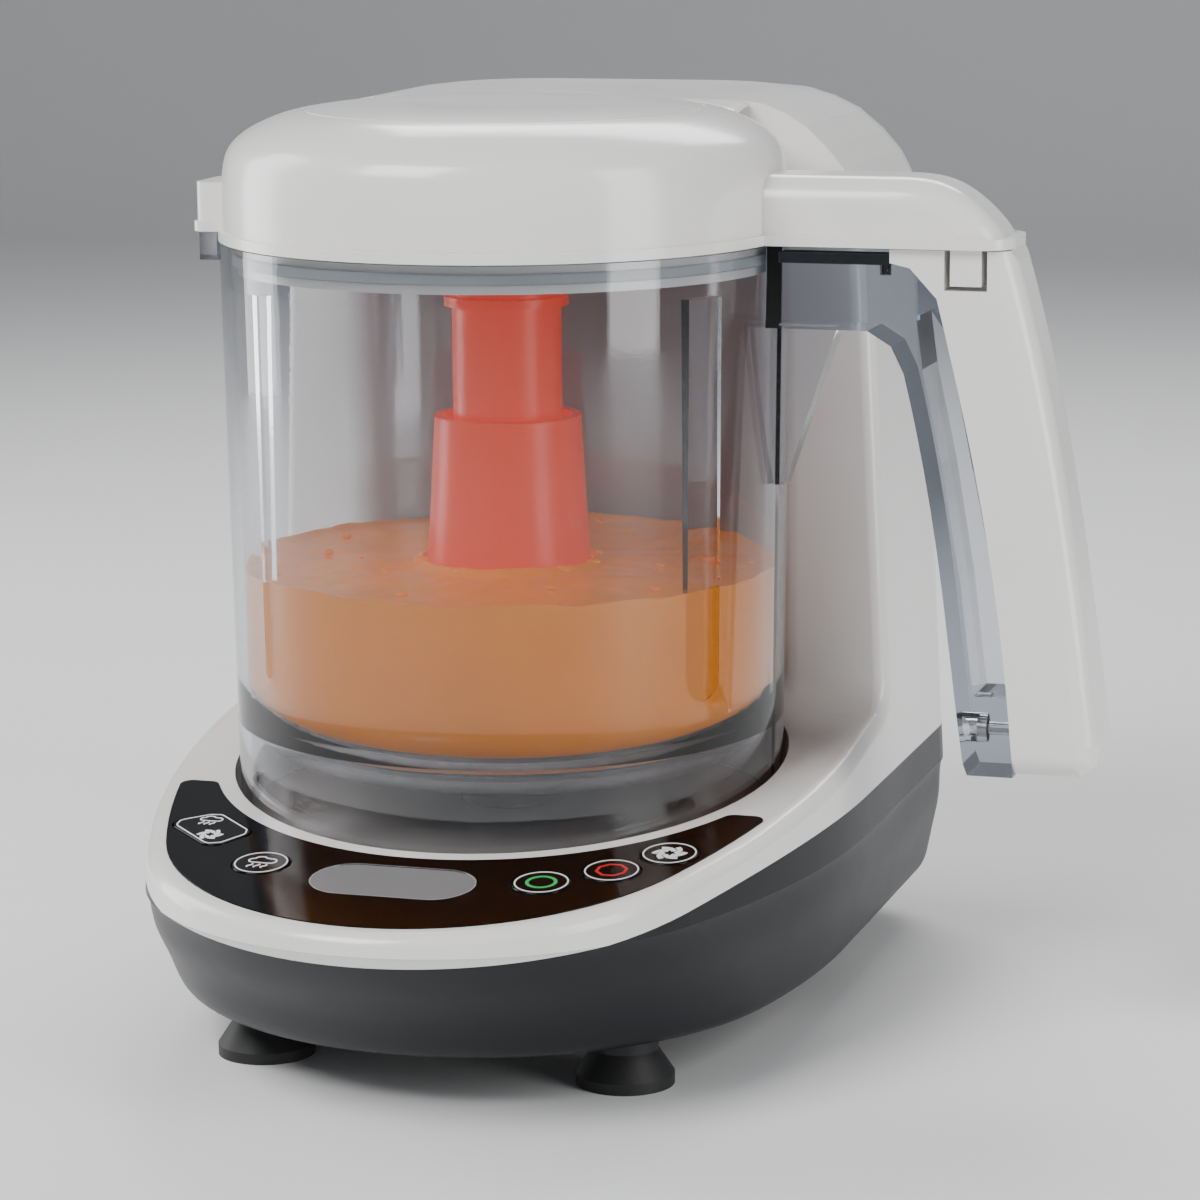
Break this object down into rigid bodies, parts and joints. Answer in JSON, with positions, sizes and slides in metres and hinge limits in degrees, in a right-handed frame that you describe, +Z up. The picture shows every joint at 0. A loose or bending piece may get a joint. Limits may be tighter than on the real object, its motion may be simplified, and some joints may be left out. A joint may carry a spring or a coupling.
{
  "type": "baby food maker",
  "caption": "Countertop baby food maker: a lidded steaming and blending jug with a handle, on a base with a sloping touch panel and a steam tower behind.",
  "frame": {"origin": "centre of the whole object's footprint on the table top, on the level the feet stand on", "axes": "+Z up, -Y the front with the control panel, +X the side the jug's handle is on"},
  "size_m": [0.2198, 0.2384, 0.2118],
  "materials": {
    "white_shell": "warm white gloss moulding",
    "dark_shell": "charcoal satin moulding",
    "black_gloss": "gloss black panel",
    "display_grey": "smoked display window",
    "lcd": "display glass",
    "circuit_green": "circuit board",
    "silicone": "translucent silicone",
    "foot_rubber": "black rubber",
    "screw_steel": "plated steel",
    "steel": "satin stainless steel",
    "motor_steel": "dark motor can",
    "bronze": "sintered bronze",
    "belt_rubber": "ribbed belt",
    "tank_clear": "clear tank plastic",
    "pump_plastic": "black pump moulding",
    "hose_silicone": "white silicone hose",
    "aluminium_cast": "cast aluminium",
    "pulley_plastic": "glass-filled nylon",
    "jug_clear": "smoke-clear plastic",
    "disc_black": "black plastic",
    "orange": "orange-red plastic",
    "button_black": "gloss black key"
  },
  "bodies": {
    "base": {"lower_shell": "dark_shell", "upper_shell": "white_shell", "control_fascia": "black_gloss", "display_window": "display_grey", "lcd_module": "lcd", "control_board": "circuit_green", "keypad_mat": "silicone", "foot_front_right": "foot_rubber", "foot_front_left": "foot_rubber", "foot_rear_right": "foot_rubber", "foot_rear_left": "foot_rubber", "shell_screws": "screw_steel", "motor_can": "motor_steel", "motor_bracket": "steel", "spindle_bearings": "bronze", "drive_belt": "belt_rubber", "water_tank": "tank_clear", "water_pump": "pump_plastic", "water_hose": "hose_silicone", "steam_hose": "hose_silicone", "boiler": "steel", "heating_plate": "aluminium_cast", "boiler_stand": "steel", "steam_nozzle": "steel", "nozzle_seal": "silicone", "power_board": "circuit_green", "interlock_switch": "pump_plastic", "cord_gland": "foot_rubber", "door_hinge_pin": "steel"},
    "spindle": {"drive_spindle": "steel", "driven_pulley": "pulley_plastic", "drive_coupling": "pulley_plastic"},
    "motor_rotor": {"motor_shaft": "steel", "motor_pulley": "pulley_plastic", "cooling_fan": "pump_plastic"},
    "jug": {"bowl_jug": "jug_clear", "floor_disc": "disc_black", "shaft_bush": "bronze", "handle_cover": "white_shell", "handle_screw": "screw_steel", "interlock_strip": "disc_black"},
    "blade_set": {"blade_shaft": "steel", "driven_coupling": "pulley_plastic", "blade_hub": "orange", "chopping_blades": "steel"},
    "lid": {"lid_cover": "white_shell", "lid_liner": "white_shell", "lid_gasket": "silicone", "steam_tube": "orange", "steam_duct": "pulley_plastic"},
    "steam_blend_button_body": {"steam_blend_button": "button_black"},
    "steam_button_body": {"steam_button": "button_black"},
    "start_button_body": {"start_button": "button_black"},
    "stop_button_body": {"stop_button": "button_black"},
    "blend_button_body": {"blend_button": "button_black"},
    "filler_door_body": {"filler_door": "white_shell"}
  },
  "joints": [
    {"name": "spindle_spin", "type": "hinge", "parent": "base", "child": "spindle", "pos_m": [-0.0294, -0.0068, 0.04], "axis": [0, 0, 1], "continuous": true},
    {"name": "motor_spin", "type": "hinge", "parent": "base", "child": "motor_rotor", "pos_m": [-0.0294, 0.0912, 0.06], "axis": [0, 0, 1], "continuous": true},
    {"name": "jug_lift", "type": "slide", "parent": "base", "child": "jug", "axis": [0, 0, 1], "range_m": [0, 0.1]},
    {"name": "blade_spin", "type": "hinge", "parent": "jug", "child": "blade_set", "pos_m": [-0.0294, -0.0068, 0.08], "axis": [0, 0, 1], "continuous": true},
    {"name": "lid_lift", "type": "slide", "parent": "jug", "child": "lid", "axis": [0, 0, 1], "range_m": [0, 0.12]},
    {"name": "filler_door_hinge", "type": "hinge", "parent": "base", "child": "filler_door_body", "pos_m": [-0.0704, 0.11328, 0.1421], "axis": [-1, 0, 0], "range_deg": [0, 80]},
    {"name": "steam_blend_button_press", "type": "slide", "parent": "base", "child": "steam_blend_button_body", "axis": [0, 0.1289, -0.9917], "range_m": [0, 0.0006], "stiffness_N_per_m": 400, "springref_m": -0.0015},
    {"name": "steam_button_press", "type": "slide", "parent": "base", "child": "steam_button_body", "axis": [0, 0.1289, -0.9917], "range_m": [0, 0.0006], "stiffness_N_per_m": 400, "springref_m": -0.0015},
    {"name": "start_button_press", "type": "slide", "parent": "base", "child": "start_button_body", "axis": [0, 0.1289, -0.9917], "range_m": [0, 0.0006], "stiffness_N_per_m": 400, "springref_m": -0.0015},
    {"name": "stop_button_press", "type": "slide", "parent": "base", "child": "stop_button_body", "axis": [0, 0.1289, -0.9917], "range_m": [0, 0.0006], "stiffness_N_per_m": 400, "springref_m": -0.0015},
    {"name": "blend_button_press", "type": "slide", "parent": "base", "child": "blend_button_body", "axis": [0, 0.1289, -0.9917], "range_m": [0, 0.0006], "stiffness_N_per_m": 400, "springref_m": -0.0015}
  ],
  "couplings": [
    {"joint": "motor_spin", "follows": "spindle_spin", "ratio": 3},
    {"joint": "blade_spin", "follows": "spindle_spin", "ratio": 1}
  ]
}
